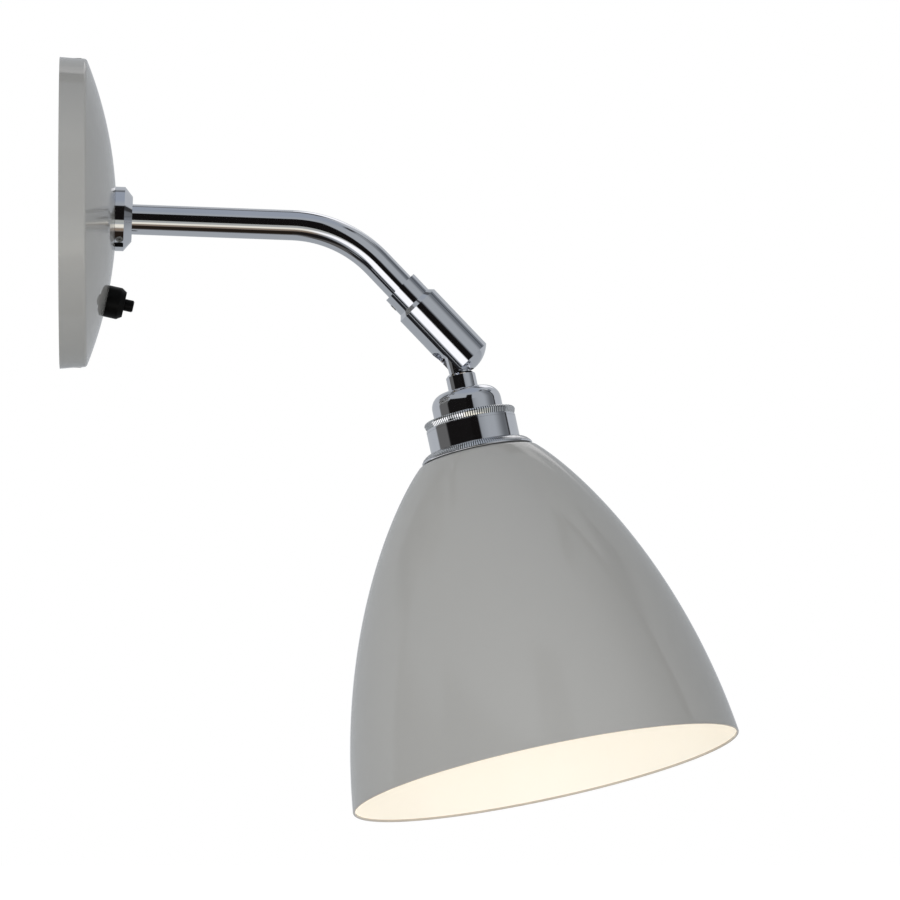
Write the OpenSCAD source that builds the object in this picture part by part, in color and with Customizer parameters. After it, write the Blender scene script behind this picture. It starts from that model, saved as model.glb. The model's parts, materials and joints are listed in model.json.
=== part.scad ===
// Wall lamp: a spun wall plate, a bent arm, a swivelling ball knuckle and a conical shade.
// Millimetres. The origin lies on the wall at the wall plate's centre.
// +X points out of the wall and +Z points up. The arm droops and bends in the X-Z plane.

/* [Wall plate] */
// Radius of the wall plate where it meets the wall
plate_r = 65.5; // [60:0.5:80]
// How far the wall plate's rim stands off the wall
rim_depth = 11.2; // [10:0.2:15]
// How much the rim draws in between the wall and its front edge
rim_draft = 0.7; // [0.2:0.1:1.4]
// How far the dome rises in front of the rim
dome_rise = 12.6; // [11:0.2:16]
// Sheet thickness of the wall plate
plate_wall = 1.2; // [0.9:0.1:1.6]
// Rounding of the edge between the rim and the dome
edge_round = 1.6; // [1.3:0.1:3]

/* [Mounting bracket] */
// Width of the bracket's bar
bracket_w = 26; // [24:1:32]
// Sheet thickness of the bracket
bracket_t = 2; // [1.5:0.1:2.4]
// Distance between the centres of the two wall screw slots
slot_spacing = 84; // [80:1:88]
// Length of each slot, end to end
slot_len = 14; // [10:1:16]
// Width of each slot
slot_w = 5; // [4.2:0.2:6]
// Radius of the hole where the house cable comes in
cable_hole_r = 8; // [6:0.5:8.5]
// Width of the two bent tabs
tab_w = 12; // [10:1:16]
// Diameter of the thread of the two cover screws
cover_screw_d = 4; // [3:0.5:4]

/* [Arm] */
// Outer diameter of the arm tube
tube_d = 12.7; // [12:0.1:13.2]
// Wall of the arm tube
tube_wall = 1.45; // [1:0.05:1.8]
// How far the arm's axis lies below the wall plate's centre
arm_offset = 2.5; // [0:0.5:5]
// Angle of the arm's first run below horizontal
arm_droop = 2.1; // [0:0.1:6]
// Length of the arm's first run, from the dome to the corner of its axes
arm_run = 95; // [80:1:120]
// Angle of the arm's second run below horizontal
drop_angle = 46.25; // [35:0.25:60]
// Length of the arm's second run, from the corner of its axes to the knuckle's joint
drop_run = 43.7; // [40:0.1:60]
// Radius of the arm's bend, on its axis
bend_r = 52; // [40:1:58]

/* [Wall collar] */
// Radius of the collar that clamps the arm to the dome
wall_collar_r = 13.5; // [12:0.5:16]
// Radius of the collar's front face
wall_collar_nose_r = 9.5; // [8.5:0.5:11]
// Length of the collar's cylindrical band in front of the dome
wall_collar_band = 3.3; // [3:0.1:5]
// Length of the collar's conical nose
wall_collar_nose = 3.3; // [2:0.1:5]
// Radius of the collar's threaded spigot behind the dome
spigot_r = 8; // [7.5:0.1:9]
// Length of the collar's spigot behind the dome's apex
spigot_len = 11.5; // [10.5:0.1:12]
// Radius of the stiffening washer behind the dome
stiffener_r = 22; // [18:1:28]
// Diameter of the threads of both grub screws
grub_d = 3; // [2:0.5:3]

/* [Knuckle] */
// Radius of the collar at the arm's lower end
knuckle_collar_r = 8; // [7.6:0.1:8.6]
// Length of the collar at the arm's lower end
knuckle_collar_len = 8.8; // [8:0.2:12]
// Radius of the knuckle's barrel
barrel_r = 9.8; // [9.6:0.1:10.6]
// Length of the barrel from its joint with the collar to the ball's centre
barrel_reach = 23.7; // [23.4:0.1:28]
// Radius of the barrel's rounded nose, about the ball's centre
nose_r = 13.75; // [13.2:0.05:15]
// Diameter of the ball
ball_d = 15.4; // [14.6:0.1:15.6]
// Radius of the ball stud's neck where it leaves the barrel
neck_r = 4.4; // [4.1:0.1:4.6]
// Half the width of the barrel's side slot
slot_half = 5.6; // [5.2:0.1:5.8]
// Smallest tilt of the head off the barrel's axis that the slot allows
tilt_min = 30; // [26:1:32]
// Largest tilt of the head off the barrel's axis that the slot allows
tilt_max = 72; // [60:1:72]
// Radius of the hollow spigot that the barrel swivels on
swivel_r = 5; // [4.6:0.1:5.2]

/* [Set of the joints] */
// Tilt of the head off the barrel's axis
tilt_set = 32.6; // [31:0.2:70]
// Turn of the barrel that brings its slot towards the viewer's side
swivel_set = 15.9; // [-40:0.1:40]

/* [Lampholder] */
// Radius of the coupler between the ball stud and the lampholder
coupler_r = 6.25; // [5.8:0.05:7]
// Length of the coupler
coupler_len = 7.2; // [5:0.1:9]
// Radius of the lampholder cap's dome
cap_r = 14.7; // [14:0.1:15.4]
// Height of the lampholder cap above its bead
cap_h = 10.9; // [10.5:0.1:13]
// Rounding of the cap's shoulder
cap_round = 6; // [4:0.5:7]
// Radius of the cap's bead
bead_r = 19.4; // [19.2:0.1:20.2]
// Height of the cap's bead
bead_h = 4.3; // [4:0.1:5]
// Radius of the lampholder's skirt
skirt_r = 19; // [18.6:0.1:19.2]
// Height of the skirt that shows between the bead and the shade ring
skirt_h = 9.2; // [7:0.1:11]
// Sheet thickness of the cap and the skirt
holder_wall = 1.2; // [1:0.1:1.3]
// Length of the skirt's thread below the shade ring's top
skirt_thread_len = 16; // [14:0.5:17]

/* [Shade] */
// Radius of the shade ring
ring_r = 23.6; // [22:0.1:25]
// Height of the shade ring
ring_h = 3.7; // [3:0.1:5]
// Radius of the shade's flat top
shade_neck_r = 24; // [23.2:0.2:26]
// Radius of the shade's mouth
shade_mouth_r = 82.8; // [70:0.2:95]
// Height of the shade
shade_h = 137.9; // [115:0.1:160]
// Angle between the shade's shoulder and its axis
shoulder_angle = 50; // [42:1:58]
// How far the shoulder's direction carries into the curve
shoulder_reach = 15; // [8:1:25]
// Angle between the shade's mouth and its axis
mouth_angle = 7; // [3:0.5:12]
// How far the mouth's direction carries into the curve
mouth_reach = 81; // [60:1:90]
// Sheet thickness of the shade
shade_wall = 1; // [0.8:0.1:1.5]

/* [Switch] */
// Distance of the switch below the wall plate's centre
switch_drop = 37; // [34:0.5:40]
// Radius of the switch's nose
switch_nose_r = 6.7; // [6.2:0.1:7.5]
// Height of the switch's nose
switch_nose_h = 7.5; // [6.6:0.1:9]
// Radius of the button
button_r = 2.5; // [2:0.1:2.8]
// How far the button stands out of the nose
button_out = 3.9; // [3:0.1:5]
// Travel of the button
button_travel = 2.2; // [1.5:0.1:2.4]
// Side of the switch's square body
switch_side = 15; // [14:0.5:15.5]
// Depth of the switch's body
switch_depth = 10.6; // [10.4:0.1:11]

/* [Bulb] */
// Diameter of the glass bulb
bulb_d = 45; // [40:1:50]
// Length of the bulb, contact to crown
bulb_len = 77; // [72:1:80]

/* [Hidden] */
$fn = 96;
// Gap between parts that fit or turn in one another
fit = 0.05;
// Gap between parts that lie against one another loosely
loose = 0.3;
// Overshoot of a cut past the face that it opens
cut = 1;

// Colours
chrome = "silver";
paint = "darkgray";
steel = "gray";
brass_tone = "goldenrod";
black_plastic = "dimgray";

// Wall plate: a cone-sided rim under a spherical dome
plate_front_r = plate_r - rim_draft;
apex_x = rim_depth + dome_rise;
dome_r = (plate_front_r * plate_front_r + dome_rise * dome_rise) / (2 * dome_rise);
dome_centre_x = apex_x - dome_r;

// Bracket tabs reach as near the rim as its draft allows
rim_inner_r = plate_front_r - plate_wall;
tab_out = sqrt(pow(rim_inner_r - loose, 2) - tab_w * tab_w / 4);
cover_screw_x = rim_depth / 2;
cover_head_r = cover_screw_d * 0.9;
cover_head_h = cover_head_r - cover_screw_d / 2;
cover_screw_top = plate_r - rim_draft / 2 - 0.15;
cover_screw_len = 7;

// Arm
tube_r = tube_d / 2;
bore_r = tube_r - tube_wall;
bend_angle = drop_angle - arm_droop;
bend_reach = bend_r * tan(bend_angle / 2);
socket_depth = 6.3;
tube_drop_end = drop_run - knuckle_collar_len + socket_depth;
core_r = 0.9;
cable_r = 2.6;
bush_flange_t = 1.5;
bush_flange_r = 8;
bush_depth = 6;
cable_tail = 1.5;
cable_start = -(spigot_len + bush_flange_t + cable_tail);
stiffener_back = -5.2;
back_nut_h = 4;
back_nut_across = 24;

// Knuckle, measured along the barrel's axis from the ball's centre
ball_r = ball_d / 2;
socket_r = ball_r + fit;
barrel_top = -barrel_reach;
barrel_end_wall = 3.5;
washer_t = 0.5;
clip_t = 1;
clip_r = 6.6;
clip_groove_r = swivel_r - 0.6;
clip_top = barrel_top + barrel_end_wall + washer_t + 2 * fit;
spigot_tip = clip_top + clip_t + 0.5;
clip_room_end = clip_top + clip_t + 1;
clip_room_r = clip_r + loose;
pressure_washer_t = 0.8;
pad_top = -8.5;
pad_skirt = -2.2;
pad_hole_r = 5;
spring_wire_r = 0.7;
spring_mean_r = 6.6;
cable_way_r = 3.2;
stop_pin_r = 0.8;
stop_circle_r = 6.6;
stop_depth = 1.5;
stop_lug_half = 10;
guide_pin_r = 1.2;
guide_pin_in = 4;
guide_pin_out = ball_r + 0.9;
neck_root_r = neck_r + 0.4;
ball_bore_r = 3;
ball_flat = 3.5;
ball_flare_r = 5.8;
shoulder_at = sqrt(nose_r * nose_r - neck_r * neck_r) + loose;

// Lampholder, measured along the head's axis from the ball's centre
cap_top = shoulder_at + coupler_len;
bead_top = cap_top + cap_h;
bead_end = bead_top + bead_h;
ring_top = bead_end + skirt_h;
shade_top = ring_top + ring_h;
thread_r = skirt_r - 0.4;
sleeve_in_r = bead_r - holder_wall - fit - holder_wall;
bead_inner_r = bead_r - holder_wall;
ledge_r = sleeve_in_r - 1.2;
ledge_top = bead_end + 1.3;
ledge_t = 1.4;
insulator_top = bead_top + 2.2;
insulator_body_r = ledge_r - 0.2;
insulator_end = ring_top + skirt_thread_len - 1;
shell_r = insulator_body_r - 1.35;
shell_wall = 0.6;
shell_seat = ledge_top + 3;
stud_r = 4.9;
tag_t = 0.7;
tag_seat = cap_top + holder_wall + fit;
tongue_w = 3.6;
tongue_t = 0.8;
tongue_h = 4.6;
tongue_at = 8;
nut_h = 3;
nut_across = 15;
nut_top = cap_top + holder_wall + tag_t + 2 * fit;
stud_end = nut_top + nut_h + 0.9;
lamp_cable_start = 2;
lamp_cable_end = stud_end + 0.4;
terminal_at = 9;
terminal_r = 2.2;
terminal_h = 4;

// Bulb
contact_top = shell_seat + 2.7;
bulb_cap_r = shell_r - shell_wall - 0.4;
bulb_cap_len = 25;
bulb_neck_r = bulb_cap_r - 0.7;
bulb_r = bulb_d / 2;
bulb_centre = contact_top + bulb_len - bulb_r;
glass_t = 0.8;

// Terminal block and earth screw on the bracket
block_l = 28;
block_d = 14;
block_h = 10.5;
block_z = 24;
pole_pitch = 8.5;
pole_x = bracket_t + 5;
barrel_bore_r = 1.7;
barrel_wall = 0.7;
block_screw_r = 1.4;
block_screw_y = pole_pitch / 2;
pole_screw_r = 1.5;
pole_screw_inset = 3.4;
earth_y = 8.5;
earth_z = 11.8;
earth_screw_r = 1.9;

// Switch, measured outwards from the dome's surface
switch_angle = asin(switch_drop / dome_r);
bushing_r = 4.9;
lock_nut_t = 2.2;
lock_nut_across = 14;
lock_nut_rest = plate_wall + pow(lock_nut_across / 2 / cos(30), 2) / (2 * dome_r) + 3 * fit;
switch_top = -(lock_nut_rest + lock_nut_t);
switch_back = switch_top - switch_depth;
switch_cavity_r = 3.7;
plunger_r = 3.4;
plunger_t = 1.5;
plunger_out = switch_top - 1.5 - fit;
nose_roof = 1.1;
spring_turns = 4;
spring_pressed_len = 4.2;
cavity_floor_at = plunger_out - plunger_t - button_travel - spring_pressed_len;
button_wire_r = 0.25;
terminal_side = 5;
terminal_out = 3.6;

// Arm frame: Z runs out along the arm's first run from the dome, X points down
module arm_frame()
    translate([apex_x, 0, -arm_offset]) rotate([0, 90 + arm_droop, 0]) children();

// Drop frame: Z runs down the arm's second run from the corner of its axes
module drop_frame()
    arm_frame() translate([0, 0, arm_run]) rotate([0, bend_angle, 0]) children();

// Barrel frame: at the ball's centre, X towards the slot, Z out of the nose
module barrel_frame()
    drop_frame() translate([0, 0, drop_run + barrel_reach])
        rotate([0, 0, -swivel_set]) children();

// Head frame: at the ball's centre, Z towards the shade's mouth
module head_frame()
    barrel_frame() rotate([0, tilt_set, 0]) children();

// Switch frame: on the dome, Z straight out of it
module switch_frame()
    translate([dome_centre_x, 0, 0]) rotate([0, 90 + switch_angle, 0])
        translate([0, 0, dome_r]) children();

// Solid cylinder from one height to another
module rod(r, from, to)
    translate([0, 0, from]) cylinder(r = r, h = to - from);

// Round tube from one height to another
module pipe(r_out, r_in, from, to)
    difference() {
        rod(r_out, from, to);
        rod(r_in, from - cut, to + cut);
    }

// Hexagonal nut with a plain bore
module hex_nut(across, bore, from, to)
    difference() {
        translate([0, 0, from])
            cylinder(r = across / 2 / cos(30), h = to - from, $fn = 6);
        rod(bore, from - cut, to + cut);
    }

// Headless screw with a hexagonal socket, its outer face at the given height
module grub_screw(d, from, to)
    difference() {
        rod(d / 2, from, to);
        translate([0, 0, to - d / 2]) cylinder(r = d / 4, h = d, $fn = 6);
    }

// Round-headed screw with a straight slot, its head above the given seat
module slotted_screw(d, head_r, head_h, seat, len)
    difference() {
        union() {
            rod(d / 2, seat - len, seat + fit);
            rod(head_r, seat, seat + head_h);
        }
        translate([-head_r - cut, -head_r / 8, seat + head_h * 0.5])
            cube([2 * (head_r + cut), head_r / 4, head_h]);
    }

// Points of a smooth curve through a list of points
function spline_point(p, i, t) =
    let (
        a = p[max(i - 1, 0)],
        b = p[i],
        c = p[i + 1],
        d = p[min(i + 2, len(p) - 1)]
    )
    b + 0.5 * t * ((c - a) + t * ((2 * a - 5 * b + 4 * c - d) + t * (3 * (b - c) + d - a)));

function spline(p, steps) = concat(
    [for (i = [0 : len(p) - 2], k = [0 : steps - 1]) spline_point(p, i, k / steps)],
    [p[len(p) - 1]]
);

function unit(v) = v / norm(v);

// Points of a helix that climbs along Z
function helix(r, rise, turns, steps) =
    [for (i = [0 : turns * steps])
        [r * cos(i * 360 / steps), r * sin(i * 360 / steps), rise * i / (turns * steps)]];

// Round tube swept along a list of points; side is a direction that the tube never runs in
module swept_tube(path, r, sides, side) {
    last = len(path) - 1;
    ahead = [for (i = [0 : last]) unit(path[min(i + 1, last)] - path[max(i - 1, 0)])];
    rings = [for (i = [0 : last])
        let (u = unit(cross(ahead[i], side)), v = cross(ahead[i], u))
        for (k = [0 : sides - 1])
            path[i] + r * (cos(k * 360 / sides) * u + sin(k * 360 / sides) * v)];
    walls = [for (i = [0 : last - 1], k = [0 : sides - 1])
        let (a = i * sides + k, b = i * sides + (k + 1) % sides)
        each [[a, b, a + sides], [b, b + sides, a + sides]]];
    first_cap = [for (k = [1 : sides - 2]) [0, k + 1, k]];
    end = last * sides;
    last_cap = [for (k = [1 : sides - 2]) [end, end + k, end + k + 1]];
    polyhedron(points = rings, faces = concat(walls, first_cap, last_cap));
}

// Wall plate

// Dome's outline drawn in by the given amount, from one angle off the axis to another,
// as points of radius and height
function dome_arc(inset, from_angle, to_angle, steps) =
    [for (i = [0 : steps])
        let (a = from_angle + (to_angle - from_angle) * i / steps)
        [(dome_r - inset) * sin(a), dome_centre_x + (dome_r - inset) * cos(a)]];

// Solid that fills the dome's inside, or all that lies outside it, from the arm to the switch
module dome_block(inset, outside) {
    reach_r = switch_drop + 2 * switch_nose_r;
    flat_end = outside ? 2 * apex_x : -cut;
    rotate([0, 90, 0]) rotate_extrude() polygon(concat(
        dome_arc(inset, 0, asin(reach_r / (dome_r - inset)), 16),
        [[reach_r, flat_end], [0, flat_end]]
    ));
}

// Countersunk screw, its flat head's face at the given height
module cover_screw(gap)
    union() {
        translate([0, 0, cover_screw_top - cover_head_h])
            cylinder(r1 = cover_screw_d / 2 + gap, r2 = cover_head_r + gap, h = cover_head_h);
        rod(cover_screw_d / 2 + gap, cover_screw_top - cover_screw_len,
            cover_screw_top - cover_head_h + fit);
        if (gap > 0) rod(cover_head_r + gap, cover_screw_top, cover_screw_top + cut);
    }

// Both cover screws, up and down through the rim
module cover_screw_pair(gap)
    for (turn = [0, 180])
        rotate([turn, 0, 0]) translate([cover_screw_x, 0, 0]) cover_screw(gap);

module mounting_bracket() {
    color(steel) difference() {
        union() {
            translate([0, -bracket_w / 2, -tab_out + 1])
                cube([bracket_t, bracket_w, 2 * (tab_out - 1)]);
            for (end = [-1, 1])
                translate([0, -tab_w / 2, end * (tab_out - bracket_t / 2) - bracket_t / 2])
                    cube([rim_depth - 0.8, tab_w, bracket_t]);
        }
        rotate([0, 90, 0]) rod(cable_hole_r, -cut, bracket_t + cut);
        for (end = [-1, 1]) translate([-cut, 0, end * slot_spacing / 2]) {
            for (tip = [-1, 1])
                translate([0, 0, tip * (slot_len - slot_w) / 2])
                    rotate([0, 90, 0]) cylinder(r = slot_w / 2, h = bracket_t + 2 * cut);
            translate([0, -slot_w / 2, -(slot_len - slot_w) / 2])
                cube([bracket_t + 2 * cut, slot_w, slot_len - slot_w]);
        }
        cover_screw_pair(fit);
        for (side = [-1, 1])
            translate([0, side * block_screw_y, block_z]) rotate([0, 90, 0])
                rod(block_screw_r + fit, -cut, bracket_t + cut);
        translate([0, earth_y, earth_z]) rotate([0, 90, 0])
            rod(earth_screw_r + fit, -cut, bracket_t + cut);
    }
}

module cover_screws() {
    color(steel) difference() {
        cover_screw_pair(0);
        for (turn = [0, 180]) rotate([turn, 0, 0])
            translate([cover_screw_x - cover_head_r, -0.4, cover_screw_top - 0.9])
                cube([2 * cover_head_r, 0.8, cut + 0.9]);
    }
}

module wall_plate() {
    edge_centre_r = plate_front_r - edge_round;
    edge_angle = asin(edge_centre_r / (dome_r - edge_round));
    edge_centre_x = dome_centre_x + (dome_r - edge_round) * cos(edge_angle);
    edge = [for (a = [90 : -9 : edge_angle])
        [edge_centre_r + edge_round * sin(a), edge_centre_x + edge_round * cos(a)]];
    color(paint) difference() {
        rotate([0, 90, 0]) rotate_extrude($fn = 180) polygon(concat(
            [[plate_r, 0]], edge, dome_arc(0, edge_angle, 0, 20),
            dome_arc(plate_wall, 0, asin(rim_inner_r / (dome_r - plate_wall)), 20),
            [[plate_r - plate_wall, 0]]
        ));
        arm_frame() rod(spigot_r + 2 * fit, -spigot_len, dome_rise);
        switch_frame() rod(bushing_r + 2 * fit, -dome_rise, dome_rise);
        cover_screw_pair(fit);
    }
}

module stiffening_washer() {
    color(steel) difference() {
        arm_frame() pipe(stiffener_r, spigot_r + 2 * fit, stiffener_back, 0);
        dome_block(plate_wall + fit, true);
    }
}

module back_nut() {
    color(steel) arm_frame()
        hex_nut(back_nut_across, spigot_r + fit, stiffener_back - fit - back_nut_h,
            stiffener_back - fit);
}

module wall_collar() {
    color(chrome) difference() {
        union() {
            difference() {
                arm_frame() rod(wall_collar_r, -dome_rise / 2, wall_collar_band);
                dome_block(-fit, false);
            }
            arm_frame() translate([0, 0, wall_collar_band])
                cylinder(r1 = wall_collar_r, r2 = wall_collar_nose_r, h = wall_collar_nose);
            arm_frame() rod(spigot_r, -spigot_len, wall_collar_band);
        }
        arm_frame() rod(tube_r + fit, -spigot_len - cut, wall_collar_band + wall_collar_nose + cut);
        collar_screw_place() rod(grub_d / 2 + fit, tube_r, wall_collar_r + cut);
    }
}

// Grub screw's axis: mid band, on the lower side towards the viewer
module collar_screw_place()
    arm_frame() translate([0, 0, wall_collar_band / 2]) rotate([0, 0, -50])
        rotate([0, 90, 0]) children();

module collar_grub_screw() {
    color(steel) collar_screw_place()
        grub_screw(grub_d, tube_r + 2 * fit, wall_collar_r - 0.4);
}

// The arm's whole route with the given round section, from its inner end to its lower end.
// All three runs are set about the bend's centre, so that their ends meet exactly.
module arm_route(from, to)
    arm_frame() translate([bend_r, 0, arm_run - bend_reach]) rotate([90, 0, 180]) {
        translate([bend_r, 0, 0]) rotate([90, 0, 0])
            linear_extrude(arm_run - bend_reach - from) children();
        rotate_extrude(angle = bend_angle) translate([bend_r, 0]) children();
        rotate([0, 0, bend_angle]) translate([bend_r, 0, 0]) rotate([-90, 0, 0])
            linear_extrude(to - bend_reach) children();
    }

module arm_tube() {
    color(chrome) arm_route(-spigot_len, tube_drop_end) difference() {
        circle(r = tube_r);
        circle(r = bore_r);
    }
}

module cable_bush() {
    color(black_plastic) arm_frame() difference() {
        union() {
            rod(bush_flange_r, -spigot_len - bush_flange_t - fit, -spigot_len - fit);
            rod(bore_r - fit, -spigot_len - fit - cut, -spigot_len + bush_depth);
        }
        rod(cable_r + loose, -spigot_len - 2 * bush_flange_t, -spigot_len + bush_depth + cut);
    }
}

// Runs loosely along the tube's axis, so it is one soft sweep
module arm_cable() {
    bend_steps = 12;
    down = [sin(bend_angle), 0, cos(bend_angle)];
    bend = [for (i = [0 : bend_steps])
        let (a = bend_angle * i / bend_steps)
        [bend_r * (1 - cos(a)), 0, arm_run - bend_reach + bend_r * sin(a)]];
    end = [0, 0, arm_run] + (drop_run + barrel_reach + spigot_tip) * down;
    color("white") arm_frame()
        swept_tube(concat([[0, 0, cable_start]], bend, [end]), cable_r, 24, [0, 1, 0]);
}

// Terminal block and earth

// Bores of the poles and of the screws in the block
module pole_bores(r)
    for (pole = [-1 : 1])
        translate([pole_x, pole * pole_pitch, block_z]) rod(r, -block_d / 2 - cut, block_d / 2 + cut);

module pole_screw_places()
    for (pole = [-1 : 1], end = [-1, 1])
        translate([pole_x, pole * pole_pitch, block_z + end * (block_d / 2 - pole_screw_inset)])
            rotate([0, 90, 0]) children();

module terminal_block() {
    color("ivory") difference() {
        translate([bracket_t + fit, -block_l / 2, block_z - block_d / 2])
            cube([block_h, block_l, block_d]);
        pole_bores(barrel_bore_r + barrel_wall + fit);
        pole_screw_places() rod(pole_screw_r + fit, 0, block_h);
        for (side = [-1, 1])
            translate([0, side * block_screw_y, block_z]) rotate([0, 90, 0])
                rod(block_screw_r + fit, 0, bracket_t + block_h + cut);
    }
}

module terminal_barrels() {
    color(brass_tone) difference() {
        for (pole = [-1 : 1])
            translate([pole_x, pole * pole_pitch, block_z])
                rod(barrel_bore_r + barrel_wall, -block_d / 2 + 0.6, block_d / 2 - 0.6);
        pole_bores(barrel_bore_r);
        pole_screw_places() rod(pole_screw_r + fit, 0, block_h);
    }
}

module terminal_screws() {
    color(steel) pole_screw_places() difference() {
        rod(pole_screw_r, core_r + fit, block_h - pole_x + bracket_t - 0.4);
        translate([-pole_screw_r - cut, -0.25, block_h - pole_x + bracket_t - 1.1])
            cube([2 * (pole_screw_r + cut), 0.5, block_h]);
    }
}

module block_screws() {
    color(steel) for (side = [-1, 1])
        translate([0, side * block_screw_y, block_z]) rotate([0, 90, 0])
            slotted_screw(2 * block_screw_r, 1.9, 1.4, bracket_t + block_h + 2 * fit,
                block_h + bracket_t);
}

module earth_screw() {
    color(brass_tone) translate([0, earth_y, earth_z]) rotate([0, 90, 0])
        slotted_screw(2 * earth_screw_r, 3.4, 2, bracket_t + 1, bracket_t + 0.8);
}

module earth_tag() {
    color(brass_tone) translate([bracket_t + fit, earth_y, earth_z]) difference() {
        union() {
            rotate([0, 90, 0]) cylinder(r = 3.1, h = 0.85);
            translate([0, -1.3, -5]) cube([0.85, 2.6, 4]);
        }
        rotate([0, 90, 0]) rod(earth_screw_r + fit, -cut, 1 + cut);
    }
}

// Routes of the cores behind the plate, from the cable's end to their terminals
neutral_route = [[9.1, -1.2, -1.4], [6.6, -1.2, -0.8], [5, -0.6, 4], [5.4, 0, 10],
    [6.8, 0, 14.5], [7, 0, 21]];
earth_route = [[9.1, 1.2, -1.4], [6.8, 1.8, -0.8], [5, 5, 1], [4.2, 8, 4], [3.9, 8.5, 8]];
switched_route = [[9.1, 0, -3.2], [8.3, 0, -3.3], [6.8, 0.3, -4.6], [5.8, 3.5, -9], [8, 7.8, -17],
    [12.2, 9.3, -27], [11, 9.3, -32.5], [10.9, 9.3, -33.2]];
feed_route = [[7, -8.5, 21], [7, -8.5, 14.5], [6.8, -11, 8], [6.8, -12.5, -4], [8.4, -11, -17],
    [12.2, -9.3, -27], [11, -9.3, -32.5], [10.9, -9.3, -33.2]];
core_steps = 4;
core_sides = 8;

module neutral_core() {
    color("royalblue") swept_tube(spline(neutral_route, core_steps), core_r, core_sides, [0, 1, 0]);
}

module earth_core() {
    color("limegreen") swept_tube(spline(earth_route, core_steps), core_r, core_sides, [1, 0, 1]);
}

module switched_core() {
    color("saddlebrown")
        swept_tube(spline(switched_route, core_steps), core_r, core_sides, [0, 1, 0.3]);
}

module feed_core() {
    color("saddlebrown")
        swept_tube(spline(feed_route, core_steps), core_r, core_sides, [0.2, 1, 0]);
}

// Switch

module switch_body() {
    color(black_plastic) switch_frame() difference() {
        union() {
            translate([-switch_side / 2, -switch_side / 2, switch_back])
                cube([switch_side, switch_side, switch_depth]);
            rod(bushing_r, switch_top - fit, switch_nose_h - nose_roof - loose);
        }
        rod(button_r + fit, switch_top - cut - 2, switch_nose_h + cut);
        rod(switch_cavity_r, cavity_floor_at, plunger_out + fit);
    }
}

module switch_lock_nut() {
    color(steel) switch_frame()
        hex_nut(lock_nut_across, bushing_r + fit, switch_top + fit, -lock_nut_rest + fit);
}

module switch_nose() {
    color("black") difference() {
        switch_frame() difference() {
            union() {
                rod(switch_nose_r, -cut, switch_nose_h - 2.2);
                translate([0, 0, switch_nose_h - 2.2])
                    cylinder(r1 = switch_nose_r, r2 = switch_nose_r - 1.4, h = 2.2);
            }
            rod(bushing_r + fit, -2 * cut, switch_nose_h - nose_roof);
            rod(button_r + 2 * fit, 0, switch_nose_h + cut);
        }
        dome_block(-fit, false);
    }
}

module switch_button() {
    color("black") switch_frame() {
        rod(button_r, plunger_out - plunger_t, switch_nose_h + button_out - 0.5);
        translate([0, 0, switch_nose_h + button_out - 0.5])
            cylinder(r1 = button_r, r2 = button_r - 0.5, h = 0.5);
        rod(plunger_r, plunger_out - plunger_t, plunger_out);
    }
}

module switch_spring() {
    color(steel) switch_frame() {
        from = cavity_floor_at + button_wire_r + fit;
        to = plunger_out - plunger_t - button_wire_r - fit;
        translate([0, 0, from])
            swept_tube(helix(2.6, to - from, spring_turns, 16), button_wire_r, 6, [0, 0, 1]);
    }
}

module switch_terminals() {
    color(brass_tone) switch_frame() for (side = [0, 180]) rotate([0, 0, side]) difference() {
        translate([-terminal_side / 2, switch_side / 2 + fit, switch_top - 8.6])
            cube([terminal_side, terminal_out, terminal_side]);
        translate([0, switch_side / 2 + terminal_out / 2, switch_top - 6.1])
            rotate([0, 90, 0]) rod(core_r + 2 * fit, -terminal_side, terminal_side);
    }
}

// Knuckle

module knuckle_screw_place()
    drop_frame() translate([0, 0, drop_run - knuckle_collar_len / 2]) rotate([0, 90, 0])
        children();

module knuckle_collar() {
    color(chrome) difference() {
        drop_frame() translate([0, 0, drop_run]) {
            rod(knuckle_collar_r, -knuckle_collar_len, 0);
            rod(swivel_r, -fit, barrel_reach + clip_top);
            rod(clip_groove_r, -fit, barrel_reach + spigot_tip);
            rod(swivel_r, barrel_reach + clip_top + clip_t, barrel_reach + spigot_tip);
        }
        drop_frame() rod(tube_r + fit, drop_run - knuckle_collar_len - cut, tube_drop_end + fit);
        drop_frame() rod(cable_way_r, 0, drop_run + barrel_reach);
        knuckle_screw_place() rod(grub_d / 2 + fit, tube_r, knuckle_collar_r + cut);
        stop_pin_place() rod(stop_pin_r, -2, 0);
    }
}

module knuckle_grub_screw() {
    color(steel) knuckle_screw_place()
        grub_screw(grub_d, tube_r + fit, knuckle_collar_r + 0.2);
}

// Stop pin's axis: in the collar's lower face, on the side away from the slot's middle
module stop_pin_place()
    drop_frame() translate([-stop_circle_r, 0, drop_run]) children();

module swivel_stop_pin() {
    color(steel) stop_pin_place() rod(stop_pin_r, -2, stop_depth - loose);
}

module swivel_washer() {
    color(steel) barrel_frame()
        pipe(clip_r, swivel_r + fit, clip_top - washer_t - fit, clip_top - fit);
}

module swivel_clip() {
    color(steel) drop_frame() translate([0, 0, drop_run + barrel_reach])
        pipe(clip_r, clip_groove_r + fit, clip_top + fit, clip_top + clip_t - fit);
}

// Room that the neck needs between the slot's two ends, as one straight-sided sweep
module neck_sweep() {
    far = 2 * nose_r;
    slab = slot_half - fit;
    for (tilt = [tilt_min, tilt_max]) rotate([0, tilt, 0]) rod(slot_half, 0, far);
    rotate([90, 0, 0]) translate([0, 0, -slab]) linear_extrude(2 * slab)
        polygon([[0, 0], [far * sin(tilt_min), far * cos(tilt_min)],
            [far * sin(tilt_max), far * cos(tilt_max)]]);
}

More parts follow.
